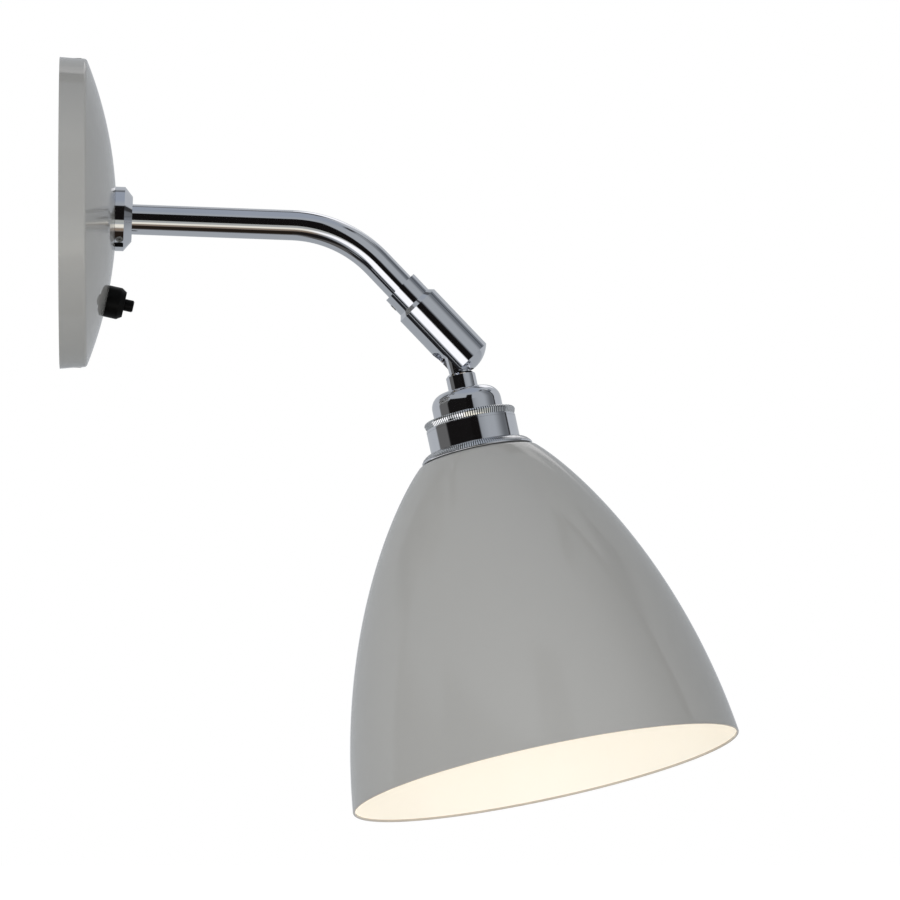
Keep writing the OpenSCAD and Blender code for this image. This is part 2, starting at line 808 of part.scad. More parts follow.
// Arc about the ball's centre from one angle off the barrel's axis to another,
// as points of radius and height
function ball_arc(r, from_angle, to_angle, steps) =
    [for (i = [0 : steps])
        let (a = from_angle + (to_angle - from_angle) * i / steps) [r * sin(a), r * cos(a)]];

module knuckle_barrel() {
    shoulder = barrel_r - knuckle_collar_r;
    nose_angle = asin(barrel_r / nose_r);
    color(chrome) barrel_frame() difference() {
        rotate_extrude() polygon(concat(
            [[swivel_r + fit, barrel_top], [knuckle_collar_r, barrel_top],
                [barrel_r, barrel_top + shoulder]],
            ball_arc(nose_r, nose_angle, 0, 12),
            ball_arc(socket_r, 0, 90, 16),
            [[socket_r, clip_room_end], [clip_room_r, clip_room_end],
                [clip_room_r, barrel_top + barrel_end_wall],
                [swivel_r + fit, barrel_top + barrel_end_wall]]
        ));
        neck_sweep();
        for (side = [-1, 1]) {
            rotate([side * 90, 0, 0]) rod(guide_pin_r + fit, 0, guide_pin_out + 3 * fit);
            translate([-guide_pin_r - fit, side > 0 ? 0 : -guide_pin_out - 3 * fit, clip_room_end])
                cube([2 * (guide_pin_r + fit), guide_pin_out + 3 * fit, -clip_room_end]);
        }
        rotate([0, 0, stop_lug_half]) translate([0, 0, barrel_top - cut])
            rotate_extrude(angle = 360 - 2 * stop_lug_half)
                translate([stop_circle_r - stop_pin_r - fit, 0])
                    square([2 * (stop_pin_r + fit), stop_depth + cut]);
    }
}

module pressure_washer() {
    color(steel) barrel_frame()
        pipe(socket_r - 2 * fit, pad_hole_r - 0.3, clip_room_end + fit,
            clip_room_end + fit + pressure_washer_t);
}

module pressure_spring() {
    from = clip_room_end + pressure_washer_t + 2 * fit + spring_wire_r + fit;
    to = pad_top - spring_wire_r - 2 * fit;
    color(steel) barrel_frame() translate([0, 0, from])
        swept_tube(helix(spring_mean_r, to - from, 3, 20), spring_wire_r, 8, [0, 0, 1]);
}

module pressure_pad() {
    color(brass_tone) barrel_frame() difference() {
        pipe(socket_r - 2 * fit, pad_hole_r, pad_top, pad_skirt);
        sphere(r = ball_r + 2 * fit, $fn = 160);
    }
}

module ball_stud() {
    color(chrome) head_frame() difference() {
        union() {
            intersection() {
                sphere(r = ball_r, $fn = 160);
                rod(ball_r + cut, -ball_flat, ball_r + cut);
            }
            translate([0, 0, ball_r * 0.6])
                cylinder(r1 = neck_root_r + 0.1, r2 = neck_r, h = shoulder_at - ball_r * 0.6);
            rod(neck_r, shoulder_at - fit, shoulder_at + 1);
            rod(stud_r, shoulder_at + 0.6, stud_end);
        }
        rod(ball_bore_r, -ball_r, stud_end + cut);
        translate([0, 0, -ball_flat - 0.01])
            cylinder(r1 = ball_flare_r, r2 = ball_bore_r, h = ball_flat + 1);
        for (side = [-90, 90]) rotate([side, 0, 0]) rod(guide_pin_r, 0, ball_d);
    }
}

module guide_pins() {
    color(steel) head_frame() for (side = [-90, 90])
        rotate([side, 0, 0]) rod(guide_pin_r, guide_pin_in, guide_pin_out);
}

// Lampholder

module stem_coupler() {
    chamfer = 1;
    color(chrome) head_frame() difference() {
        union() {
            translate([0, 0, shoulder_at + fit])
                cylinder(r1 = coupler_r - chamfer, r2 = coupler_r, h = chamfer);
            rod(coupler_r, shoulder_at + chamfer + fit, cap_top - fit);
        }
        rod(stud_r + fit, shoulder_at - cut, cap_top + cut);
    }
}

// Quarter round from the end of a flat to the side below it, as points of radius and height
function quarter(r, centre_r, centre_z, steps) =
    [for (i = [0 : steps]) [centre_r + r * sin(i * 90 / steps), centre_z - r * cos(i * 90 / steps)]];

module lampholder_cap() {
    bead_round = 2.4;
    inner_round = cap_round - holder_wall;
    color(chrome) head_frame() rotate_extrude() polygon(concat(
        [[stud_r + fit, cap_top]],
        quarter(cap_round, cap_r - cap_round, cap_top + cap_round, 10),
        [[cap_r, bead_top]],
        quarter(bead_round, bead_r - bead_round, bead_top + bead_round, 8),
        [[bead_r, bead_end], [bead_inner_r, bead_end],
            [bead_inner_r, bead_top + holder_wall], [cap_r - holder_wall, bead_top + holder_wall]],
        [for (p = [10 : -1 : 0]) quarter(inner_round, cap_r - cap_round, cap_top + cap_round, 10)[p]],
        [[stud_r + fit, cap_top + holder_wall]]
    ));
}

module holder_earth_tag() {
    color(brass_tone) head_frame() {
        pipe(7.6, stud_r + fit, tag_seat, tag_seat + tag_t);
        translate([-tongue_w / 2, 7, tag_seat]) cube([tongue_w, tongue_at + tongue_t - 7, tag_t]);
        translate([-tongue_w / 2, tongue_at, tag_seat]) cube([tongue_w, tongue_t, tongue_h]);
    }
}

module holder_nut() {
    color(brass_tone) head_frame() hex_nut(nut_across, stud_r + fit, nut_top, nut_top + nut_h);
}

module lampholder_sleeve() {
    color(chrome) head_frame() difference() {
        union() {
            rod(bead_inner_r - fit, bead_top + holder_wall + loose, bead_end + fit);
            rod(skirt_r, bead_end + fit, ring_top);
            rod(thread_r, ring_top - fit, ring_top + skirt_thread_len);
        }
        rod(sleeve_in_r, bead_top, ledge_top);
        rod(ledge_r, bead_top, ring_top);
        rod(sleeve_in_r, ledge_top + ledge_t, ring_top + skirt_thread_len + cut);
    }
}

module shade_ring() {
    edge_h = 0.6;
    color(chrome) head_frame() difference() {
        union() {
            translate([0, 0, ring_top + fit])
                cylinder(r1 = skirt_r + 0.5, r2 = ring_r, h = ring_h - edge_h - fit);
            rod(ring_r, shade_top - edge_h, shade_top);
        }
        rod(thread_r + fit, ring_top - cut, shade_top + cut);
    }
}

module clamp_ring() {
    color(chrome) head_frame()
        pipe(ring_r - 0.8, thread_r + fit, shade_top + shade_wall + 2 * fit,
            shade_top + shade_wall + 2 * fit + 4);
}

// Shade's outline: one Bezier curve from its flat top to its mouth
shade_p0 = [shade_neck_r, shade_top + fit];
shade_p3 = [shade_mouth_r, shade_top + shade_h];
shade_p1 = shade_p0 + shoulder_reach * [sin(shoulder_angle), cos(shoulder_angle)];
shade_p2 = shade_p3 - mouth_reach * [sin(mouth_angle), cos(mouth_angle)];
shade_steps = 32;

function bezier(t) = pow(1 - t, 3) * shade_p0 + 3 * t * pow(1 - t, 2) * shade_p1
    + 3 * t * t * (1 - t) * shade_p2 + t * t * t * shade_p3;
function bezier_ahead(t) = unit(pow(1 - t, 2) * (shade_p1 - shade_p0)
    + 2 * t * (1 - t) * (shade_p2 - shade_p1) + t * t * (shade_p3 - shade_p2));
function shade_inner(t) =
    let (ahead = bezier_ahead(t)) bezier(t) + shade_wall * [-ahead[1], ahead[0]];

module shade() {
    hole_r = thread_r + 2 * fit;
    inner_flat_r = shade_neck_r - shade_wall * tan(shoulder_angle / 2);
    color(paint) head_frame() rotate_extrude($fn = 180) polygon(concat(
        [[hole_r, shade_p0[1]]],
        [for (i = [0 : shade_steps]) bezier(i / shade_steps)],
        [for (i = [shade_steps : -1 : 1]) shade_inner(i / shade_steps)],
        [[inner_flat_r, shade_p0[1] + shade_wall], [hole_r, shade_p0[1] + shade_wall]]
    ));
}

module insulator() {
    color("ivory") head_frame() difference() {
        union() {
            rod(sleeve_in_r - 2 * fit, insulator_top, ledge_top - fit);
            rod(insulator_body_r, ledge_top - fit - cut, insulator_end);
        }
        rod(shell_r + fit, shell_seat, insulator_end + cut);
    }
}

module screw_shell() {
    color(brass_tone) head_frame() difference() {
        rod(shell_r, shell_seat + fit, insulator_end - 1);
        rod(shell_r - shell_wall, shell_seat + fit + shell_wall, insulator_end);
        rod(8, shell_seat, insulator_end);
    }
}

module centre_contact() {
    color(brass_tone) head_frame() rod(3, shell_seat + fit, contact_top - fit);
}

module holder_terminals() {
    color(brass_tone) head_frame() for (side = [0, 180]) rotate([0, 0, side]) difference() {
        union() {
            translate([terminal_at, 0, 0])
                rod(terminal_r, insulator_top - terminal_h - fit, insulator_top - fit);
            translate([terminal_at, 0, 0])
                rod(terminal_r - 0.6, insulator_top - terminal_h - 1.4, insulator_top - terminal_h);
        }
        translate([0, 0, insulator_top - terminal_h / 2]) rotate([0, 90, 0])
            rod(core_r + 2 * fit, 0, terminal_at);
    }
}

// Routes of the cores in the lampholder cap, in the head's frame from the cable's end
module holder_cores() {
    start = lamp_cable_end + fit;
    level = insulator_top - terminal_h / 2;
    tag_end = [0, tongue_at + tongue_t / 2, tag_seat + tongue_h + loose];
    for (side = [1, -1])
        color(side > 0 ? "saddlebrown" : "royalblue") head_frame()
            swept_tube(spline([[side * 1.3, -0.6, start], [side * 1.4, -0.6, start + 1.2],
                [side * 2.8, -0.3, level - 0.8], [side * 4.8, 0, level],
                [side * 8.2, 0, level]], core_steps), core_r, core_sides, [0, 1, 0]);
    color("limegreen") head_frame()
        swept_tube(spline([[0, 1.4, start], [0, 1.6, start + 1], [0, 4, start + 2.4],
            [0, 6.8, start + 2.2], tag_end + [0, -0.1, 1.4], tag_end], core_steps),
            core_r, core_sides, [1, 0, 0]);
}

module lamp_cable() {
    color("white") head_frame() rod(cable_r, lamp_cable_start, lamp_cable_end);
}

// Bulb

module bulb_cap() {
    tip_r = 5.2;
    ridge_pitch = 3.6;
    ridge_first = contact_top + 7;
    wall = 0.5;
    color(steel) head_frame() difference() {
        union() {
            translate([0, 0, contact_top + 1.6])
                cylinder(r1 = tip_r, r2 = bulb_cap_r - 0.9, h = 3.4);
            rod(bulb_cap_r - 0.5, contact_top + 5, contact_top + bulb_cap_len);
            for (i = [0 : 3])
                translate([0, 0, ridge_first + i * ridge_pitch]) {
                    cylinder(r1 = bulb_cap_r - 0.5, r2 = bulb_cap_r, h = 0.9);
                    translate([0, 0, 0.9])
                        cylinder(r1 = bulb_cap_r, r2 = bulb_cap_r - 0.5, h = 0.9);
                }
        }
        rod(bulb_neck_r - wall, contact_top + 5 + wall, contact_top + bulb_cap_len + cut);
        rod(tip_r - 1.2, contact_top, contact_top + bulb_cap_len);
    }
}

module bulb_contact() {
    color(black_plastic) head_frame() {
        rod(4, contact_top + 1, contact_top + 4.6);
        rod(2.4, contact_top, contact_top + 1 + fit);
    }
}

module bulb_glass() {
    neck_in_r = bulb_neck_r - 0.5 - fit;
    neck_from = contact_top + bulb_cap_len - 4;
    blend_r = neck_in_r + 1.6;
    blend_z = sqrt(bulb_r * bulb_r - blend_r * blend_r);
    color("white", 0.8) head_frame() difference() {
        union() {
            rod(neck_in_r, neck_from, contact_top + bulb_cap_len + 0.5);
            translate([0, 0, contact_top + bulb_cap_len + 0.5])
                cylinder(r1 = neck_in_r, r2 = blend_r,
                    h = bulb_centre - blend_z - contact_top - bulb_cap_len - 0.5);
            translate([0, 0, bulb_centre]) sphere(r = bulb_r);
        }
        rod(neck_in_r - glass_t, neck_from - cut, contact_top + bulb_cap_len + 0.5);
        translate([0, 0, contact_top + bulb_cap_len + 0.49])
            cylinder(r1 = neck_in_r - glass_t, r2 = blend_r - glass_t,
                h = bulb_centre - blend_z - contact_top - bulb_cap_len);
        translate([0, 0, bulb_centre]) sphere(r = bulb_r - glass_t);
    }
}

mounting_bracket();
cover_screws();
wall_plate();
stiffening_washer();
back_nut();
wall_collar();
collar_grub_screw();
arm_tube();
cable_bush();
arm_cable();
terminal_block();
terminal_barrels();
terminal_screws();
block_screws();
earth_screw();
earth_tag();
neutral_core();
earth_core();
switched_core();
feed_core();
switch_body();
switch_lock_nut();
switch_nose();
switch_terminals();
switch_spring();
switch_button();
knuckle_collar();
knuckle_grub_screw();
swivel_stop_pin();
swivel_washer();
swivel_clip();
knuckle_barrel();
pressure_washer();
pressure_spring();
pressure_pad();
ball_stud();
guide_pins();
stem_coupler();
lampholder_cap();
holder_earth_tag();
holder_nut();
lampholder_sleeve();
shade_ring();
clamp_ring();
shade();
insulator();
screw_shell();
centre_contact();
holder_terminals();
holder_cores();
lamp_cable();
bulb_cap();
bulb_contact();
bulb_glass();
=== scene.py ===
import json
from math import asin, cos, degrees, pi, radians, sin, sqrt, tan

import bpy
from mathutils import Matrix, Vector


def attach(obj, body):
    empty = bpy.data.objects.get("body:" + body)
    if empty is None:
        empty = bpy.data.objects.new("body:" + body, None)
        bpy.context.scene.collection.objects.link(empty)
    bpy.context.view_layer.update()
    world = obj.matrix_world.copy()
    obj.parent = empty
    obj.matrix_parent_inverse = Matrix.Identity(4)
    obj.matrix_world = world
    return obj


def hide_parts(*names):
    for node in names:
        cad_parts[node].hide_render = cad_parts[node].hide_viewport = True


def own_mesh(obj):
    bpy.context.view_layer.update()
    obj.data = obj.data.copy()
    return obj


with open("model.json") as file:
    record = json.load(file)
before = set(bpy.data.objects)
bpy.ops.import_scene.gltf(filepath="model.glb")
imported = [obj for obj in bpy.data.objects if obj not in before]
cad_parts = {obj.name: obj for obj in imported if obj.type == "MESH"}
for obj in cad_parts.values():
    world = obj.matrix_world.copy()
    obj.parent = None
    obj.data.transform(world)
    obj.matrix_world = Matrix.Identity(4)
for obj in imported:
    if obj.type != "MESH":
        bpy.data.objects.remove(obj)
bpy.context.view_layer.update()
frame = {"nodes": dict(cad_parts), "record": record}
nodes = frame["nodes"]

# Camera: a long lens, level with the knuckle, square to the arm's plane
VIEW_MIDDLE = Vector((0.1639, 0.0, -0.0996))
VIEW_DISTANCE = 16.0
VIEW_WIDTH = 0.378
camera = bpy.data.objects.new("camera", bpy.data.cameras.new("camera"))
camera.data.sensor_width = 36
camera.data.lens = 36 * VIEW_DISTANCE / VIEW_WIDTH
camera.data.clip_end = 100
camera.location = VIEW_MIDDLE + Vector((0, -VIEW_DISTANCE, 0))
camera.rotation_euler = (pi / 2, 0, 0)
bpy.context.scene.collection.objects.link(camera)
bpy.context.scene.camera = camera
bpy.context.scene.view_settings.view_transform = "Standard"


# Frames, in millimetres

def move(x=0.0, y=0.0, z=0.0):
    return Matrix.Translation((x, y, z))


def turn(axis, angle):
    return Matrix.Rotation(radians(angle), 4, axis)


PLATE_R, RIM_DEPTH, RIM_DRAFT, DOME_RISE = 65.5, 11.2, 0.7, 12.6
FRONT_R = PLATE_R - RIM_DRAFT
APEX_X = RIM_DEPTH + DOME_RISE
DOME_R = (FRONT_R ** 2 + DOME_RISE ** 2) / (2 * DOME_RISE)
BEND_R, DROOP, DROP, ARM_RUN, DROP_RUN, BARREL_REACH = 52.0, 2.1, 46.25, 95.0, 43.7, 23.7
BEND = DROP - DROOP
BEND_REACH = BEND_R * tan(radians(BEND / 2))
ARM_OFFSET, SLOT_TURN, HEAD_TILT, SWITCH_DROP = 2.5, -15.9, 32.6, 37.0

METRES = Matrix.Scale(0.001, 4)
ROW = Matrix.Identity(4)
ARM = move(APEX_X, 0, -ARM_OFFSET) @ turn("Y", 90 + DROOP)
DROP_FRAME = ARM @ move(z=ARM_RUN) @ turn("Y", BEND)
BARREL = DROP_FRAME @ move(z=DROP_RUN + BARREL_REACH) @ turn("Z", SLOT_TURN)
HEAD = BARREL @ turn("Y", HEAD_TILT)
SWITCH = (move(APEX_X - DOME_R) @ turn("Y", 90 + degrees(asin(SWITCH_DROP / DOME_R)))
          @ move(z=DOME_R))

# Heights along the head's axis, from the ball's centre
NOSE_R, NECK_R, LOOSE, FIT = 13.75, 4.4, 0.3, 0.05
COUPLER_H, CAP_H, BEAD_H, SKIRT_H, RING_H, SHADE_H = 7.2, 10.9, 4.3, 9.2, 3.7, 137.9
SHOULDER_AT = sqrt(NOSE_R ** 2 - NECK_R ** 2) + LOOSE
CAP_TOP = SHOULDER_AT + COUPLER_H
BEAD_TOP = CAP_TOP + CAP_H
BEAD_END = BEAD_TOP + BEAD_H
RING_TOP = BEAD_END + SKIRT_H
SHADE_TOP = RING_TOP + RING_H
MOUTH = SHADE_TOP + SHADE_H


# Materials

def material(name):
    m = bpy.data.materials.new(name)
    m.use_nodes = True
    return m, m.node_tree, m.node_tree.nodes["Principled BSDF"]


def add(tree, kind, inputs=None, **settings):
    n = tree.nodes.new(kind)
    for key, value in settings.items():
        setattr(n, key, value)
    for key, value in (inputs or {}).items():
        if isinstance(value, bpy.types.NodeSocket):
            tree.links.new(value, n.inputs[key])
        else:
            n.inputs[key].default_value = value
    return n


def coordinates(tree):
    return add(tree, "ShaderNodeTexCoord").outputs["Object"]


def noise(tree, scale, detail=2.0, roughness=0.5, where=None):
    return add(tree, "ShaderNodeTexNoise",
               {"Vector": where or coordinates(tree), "Scale": scale, "Detail": detail,
                "Roughness": roughness}).outputs["Fac"]


def spread(tree, fac, low, high, from_low=0.3, from_high=0.7):
    """A number between low and high, as fac goes over its usual range."""
    return add(tree, "ShaderNodeMapRange",
               {"Value": fac, "From Min": from_low, "From Max": from_high,
                "To Min": low, "To Max": high}).outputs["Result"]


def blend_colours(tree, fac, a, b):
    n = add(tree, "ShaderNodeMix", data_type="RGBA")
    tree.links.new(fac, n.inputs["Factor"])
    n.inputs["A"].default_value = (*a, 1)
    n.inputs["B"].default_value = (*b, 1)
    return n.outputs["Result"]


def bump(tree, shader, height, strength, distance):
    n = add(tree, "ShaderNodeBump",
            {"Height": height, "Strength": strength, "Distance": distance})
    tree.links.new(n.outputs["Normal"], shader.inputs["Normal"])


def link(tree, output, shader, name):
    tree.links.new(output, shader.inputs[name])


def metal(name, light, dark, rough, grain=1400.0, grain_depth=0.000004):
    m, tree, s = material(name)
    s.inputs["Metallic"].default_value = 1.0
    link(tree, blend_colours(tree, noise(tree, 60, 3), light, dark), s, "Base Color")
    link(tree, spread(tree, noise(tree, 220, 4, 0.6), rough[0], rough[1]), s, "Roughness")
    bump(tree, s, noise(tree, grain, 3), 0.1, grain_depth)
    return m


def plastic(name, light, dark, rough, pit=900.0, pit_depth=0.00002, shine=0.5):
    m, tree, s = material(name)
    s.inputs["Specular IOR Level"].default_value = shine
    link(tree, blend_colours(tree, noise(tree, 90, 3), light, dark), s, "Base Color")
    link(tree, spread(tree, noise(tree, 300, 3), rough[0], rough[1]), s, "Roughness")
    bump(tree, s, noise(tree, pit, 2), 0.3, pit_depth)
    return m


def gloss_paint(name, light, dark):
    m, tree, s = material(name)
    link(tree, blend_colours(tree, noise(tree, 14, 2), light, dark), s, "Base Color")
    link(tree, spread(tree, noise(tree, 120, 3), 0.40, 0.48), s, "Roughness")
    s.inputs["Specular IOR Level"].default_value = 0.1
    s.inputs["Coat Weight"].default_value = 1.0
    s.inputs["Coat Roughness"].default_value = 0.03
    bump(tree, s, noise(tree, 420, 2), 0.04, 0.00002)
    return m


def striped_core(name, first, second):
    m, tree, s = material(name)
    wave = add(tree, "ShaderNodeTexWave",
               {"Vector": coordinates(tree), "Scale": 60.0, "Distortion": 0.6},
               wave_type="BANDS", bands_direction="DIAGONAL").outputs["Fac"]
    edge = add(tree, "ShaderNodeValToRGB", {"Fac": wave})
    edge.color_ramp.interpolation = "CONSTANT"
    edge.color_ramp.elements[0].color = (*first, 1)
    edge.color_ramp.elements[1].color = (*second, 1)
    edge.color_ramp.elements[1].position = 0.66
    link(tree, edge.outputs["Color"], s, "Base Color")
    link(tree, spread(tree, noise(tree, 300, 2), 0.35, 0.45), s, "Roughness")
    bump(tree, s, noise(tree, 1200, 2), 0.2, 0.00002)
    return m


GREY = (0.354, 0.353, 0.343)
GREY_DARK = (0.340, 0.340, 0.331)
paint = gloss_paint("grey_gloss_paint", GREY, GREY_DARK)
chrome = metal("chrome", (0.80, 0.81, 0.84), (0.74, 0.75, 0.79), (0.035, 0.075))
# Knurl teeth in a brighter chrome, a painted glint, and grooves in near-black chrome, painted shade
chrome_tips_painted_glint = metal("chrome_knurled_painted_glint", (0.95, 0.96, 0.97), (0.90, 0.91, 0.92), (0.08, 0.15))
chrome_groove_painted_shade = metal("chrome_groove_painted_shade", (0.05, 0.05, 0.055), (0.03, 0.03, 0.035), (0.2, 0.3))
zinc = metal("zinc_plated_steel", (0.62, 0.62, 0.61), (0.50, 0.50, 0.48), (0.22, 0.4), 700, 0.00001)
brass = metal("brass", (0.78, 0.60, 0.30), (0.66, 0.48, 0.22), (0.16, 0.3), 800, 0.00001)
black_gloss = plastic("black_switch_plastic", (0.0015, 0.0015, 0.0015), (0.003, 0.003, 0.003),
                      (0.38, 0.5), shine=0.1)
black_matt = plastic("black_plastic", (0.03, 0.03, 0.03), (0.045, 0.045, 0.045), (0.45, 0.6))
ivory = plastic("ivory_plastic", (0.78, 0.75, 0.67), (0.70, 0.67, 0.58), (0.35, 0.5))
sheath = plastic("white_sheath", (0.78, 0.77, 0.74), (0.70, 0.69, 0.66), (0.4, 0.55), 500)
blue = plastic("blue_core", (0.03, 0.13, 0.52), (0.02, 0.09, 0.42), (0.35, 0.45))
brown = plastic("brown_core", (0.20, 0.075, 0.03), (0.14, 0.05, 0.02), (0.35, 0.45))
earth_stripes = striped_core("earth_core_stripes", (0.08, 0.36, 0.06), (0.80, 0.70, 0.05))


def white_with_painted_glow(name):
    """The shade's white inside, with a painted glow for its bulb's light: emission that is whiter
    on the side away from the camera, a painted hot spot.
    """
    m, tree, s = material(name)
    where = add(tree, "ShaderNodeSeparateXYZ", {0: coordinates(tree)})
    painted_hot_spot_side = spread(tree, where.outputs["Y"], 0.0, 1.0, 0.01, 0.08)
    link(tree, blend_colours(tree, noise(tree, 40, 2), (0.86, 0.85, 0.81), (0.83, 0.82, 0.78)),
         s, "Base Color")
    link(tree, spread(tree, noise(tree, 150, 3), 0.3, 0.4), s, "Roughness")
    # Painted light: emission on the inside stands in for the bulb's light, whiter on the far side
    link(tree, blend_colours(tree, painted_hot_spot_side, (1.0, 0.87, 0.70), (1.0, 0.92, 0.80)),
         s, "Emission Color")
    s.inputs["Emission Strength"].default_value = 0.205
    bump(tree, s, noise(tree, 480, 2), 0.06, 0.00003)
    return m


def lit_glass(name):
    m, tree, s = material(name)
    link(tree, blend_colours(tree, noise(tree, 50, 2), (0.95, 0.93, 0.88), (0.92, 0.89, 0.83)),
         s, "Base Color")
    link(tree, spread(tree, noise(tree, 200, 3), 0.25, 0.35), s, "Roughness")
    s.inputs["Transmission Weight"].default_value = 0.2
    link(tree, blend_colours(tree, noise(tree, 30, 2), (1.0, 0.90, 0.74), (1.0, 0.87, 0.68)),
         s, "Emission Color")
    s.inputs["Emission Strength"].default_value = 1.1
    bump(tree, s, noise(tree, 600, 2), 0.05, 0.00002)
    return m


# The shade's inside glows with painted light from its bulb
shade_inside_painted_glow = white_with_painted_glow("shade_inside_painted_glow")
# The mouth's lip in a lighter, warmer paint: a painted glow from the lit inside
lip_painted_glow = gloss_paint("shade_lip_painted_glow", (0.62, 0.56, 0.49), (0.60, 0.54, 0.47))
bulb_white = lit_glass("bulb_frosted")

BY_SLOT = {"paint": paint, "shade_paint": paint, "chrome": chrome, "steel": zinc, "brass": brass,
           "black_plastic": black_matt, "switch_plastic": black_gloss, "white_plastic": ivory,
           "cable_sheath": sheath, "blue_core": blue, "green_core": earth_stripes,
           "brown_core": brown, "bulb_glass": bulb_white}
slot_of = {p["node"]: p["material_slot"] for p in frame["record"]["subparts"]}
for name, ob in nodes.items():
    ob.data.materials.clear()
    ob.data.materials.append(BY_SLOT[slot_of[name]])


# Pieces

TUBE_END = 0.86


def finish_piece(mesh, name, place, materials, node, body, sharp):
    mesh.transform(METRES @ place)
    mesh.update()
    mesh.shade_smooth()
    mesh.set_sharp_from_angle(angle=radians(sharp))
    for m in materials:
        mesh.materials.append(m)
    ob = bpy.data.objects.new(name, mesh)
    bpy.context.scene.collection.objects.link(ob)
    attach(ob, body)
    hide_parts(node)
    return ob


def no_ridge(row, step):
    return 0.0


def lathe(name, profile, place, materials, node, body, segments, pick, ridge=no_ridge, sharp=30):
    """Revolves a closed profile of (radius, height) points about the place's Z axis.

    pick(row, step) names a face's material, and ridge(row, step) shortens a radius to cut
    knurls."""
    rows = len(profile)
    verts, faces, which = [], [], []
    for j in range(segments):
        a = 2 * pi * j / segments
        for i, (r, z) in enumerate(profile):
            r -= ridge(i, j)
            verts.append((r * cos(a), r * sin(a), z))
    for j in range(segments):
        k = (j + 1) % segments
        for i in range(rows):
            n = (i + 1) % rows
            faces.append((j * rows + i, k * rows + i, k * rows + n, j * rows + n))
            which.append(pick(i, j))
    mesh = bpy.data.meshes.new(name)
    mesh.from_pydata(verts, [], faces)
    for face, m in zip(mesh.polygons, which):
        face.material_index = m
    return finish_piece(mesh, name, place, materials, node, body, sharp)


def arc(centre_r, centre_z, radius, from_degrees, to_degrees, steps):
    """Points of an arc; the angle starts at the outward direction and turns towards +Z."""
    return [(centre_r + radius * cos(radians(a)), centre_z + radius * sin(radians(a)))
            for a in (from_degrees + (to_degrees - from_degrees) * i / steps
                      for i in range(steps + 1))]


def smooth_path(points, steps):
    """Points of a curve through the given points, the same curve as in the CAD source."""
    out = []
    p = [Vector(q) for q in points]
    for i in range(len(p) - 1):
        a, b, c, d = p[max(i - 1, 0)], p[i], p[i + 1], p[min(i + 2, len(p) - 1)]
        for k in range(steps):
            t = k / steps
            out.append(b + 0.5 * t * ((c - a) + t * ((2 * a - 5 * b + 4 * c - d)
                                                     + t * (3 * (b - c) + d - a))))
    return out + [p[-1]]


def tube(name, path, radius, side, place, finish, node, body, sides=20):
    """A round tube along a path, narrower at its two ends; side is a direction off the path."""
    verts, faces = [], []
    last = len(path) - 1
    for i, p in enumerate(path):
        ahead = (path[min(i + 1, last)] - path[max(i - 1, 0)]).normalized()
        u = ahead.cross(Vector(side)).normalized()
        v = ahead.cross(u)
        r = radius * (TUBE_END if i in (0, last) else 1.0)
        verts += [p + r * (cos(2 * pi * k / sides) * u + sin(2 * pi * k / sides) * v)
                  for k in range(sides)]
    for i in range(last):
        a, b = i * sides, (i + 1) * sides
        for k in range(sides):
            n = (k + 1) % sides
            faces.append((a + k, a + n, b + n, b + k))
    faces.append(tuple(reversed(range(sides))))
    faces.append(tuple(last * sides + k for k in range(sides)))
    mesh = bpy.data.meshes.new(name)
    mesh.from_pydata([tuple(v) for v in verts], [], faces)
    return finish_piece(mesh, name, place, [finish], node, body, 50)


# Shade: the source's curve at a finer step, with a rolled lip at the mouth
WALL, SHADE_NECK_R, MOUTH_R, SHADE_HOLE = 1.0, 24.0, 82.8, 18.7
TOP_ANGLE, TOP_PULL, MOUTH_ANGLE, MOUTH_PULL = radians(50), 15, radians(7), 81
P0 = Vector((SHADE_NECK_R, SHADE_TOP + FIT))
P3 = Vector((MOUTH_R, MOUTH))
P1 = P0 + TOP_PULL * Vector((sin(TOP_ANGLE), cos(TOP_ANGLE)))
P2 = P3 - MOUTH_PULL * Vector((sin(MOUTH_ANGLE), cos(MOUTH_ANGLE)))


def shade_point(t):
    return (P0 * (1 - t) ** 3 + P1 * 3 * t * (1 - t) ** 2 + P2 * 3 * t * t * (1 - t)
            + P3 * t ** 3)


def shade_ahead(t):
    d = ((P1 - P0) * (1 - t) ** 2 + (P2 - P1) * 2 * t * (1 - t) + (P3 - P2) * t * t)
    return d.normalized()


STEPS, LIP_STEPS, LIP_STRIP, SHADE_SEGMENTS = 96, 8, 0.45, 256
outside = [shade_point(i / STEPS) for i in range(STEPS)]
inside = []
for i in range(STEPS - 1, 0, -1):
    d = shade_ahead(i / STEPS)
    inside.append(shade_point(i / STEPS) + WALL * Vector((-d.y, d.x)))
lip_ahead = shade_ahead(1.0)
lip_in = Vector((-lip_ahead.y, lip_ahead.x))
lip_middle = P3 + WALL / 2 * (lip_in - lip_ahead)
lip = [lip_middle + WALL / 2 * (sin(a) * lip_ahead - cos(a) * lip_in)
       for a in (pi * k / LIP_STEPS for k in range(LIP_STEPS + 1))]
neck = [(SHADE_HOLE, P0.y), (22.7, P0.y), (23.2, P0.y + 0.12)]
neck += [tuple(p) for p in outside if p.x > 24.8]
lip_from = len(neck) + 2
lip_to = len(neck) + LIP_STEPS
profile = neck + [tuple(p) for p in (*lip, lip[-1] - LIP_STRIP * lip_ahead, *inside)]
profile += [(SHADE_NECK_R - WALL * tan(radians(25)), P0.y + WALL), (SHADE_HOLE, P0.y + WALL)]


# The lip's rows take the lighter paint that stands in for the inside's glow on the rim
def shade_finish(row, step):
    return 0 if row < lip_from else (2 if row <= lip_to else 1)


lathe("shade_shell", profile, HEAD, [paint, shade_inside_painted_glow, lip_painted_glow], "shade", "head",
      SHADE_SEGMENTS, shade_finish, sharp=35)

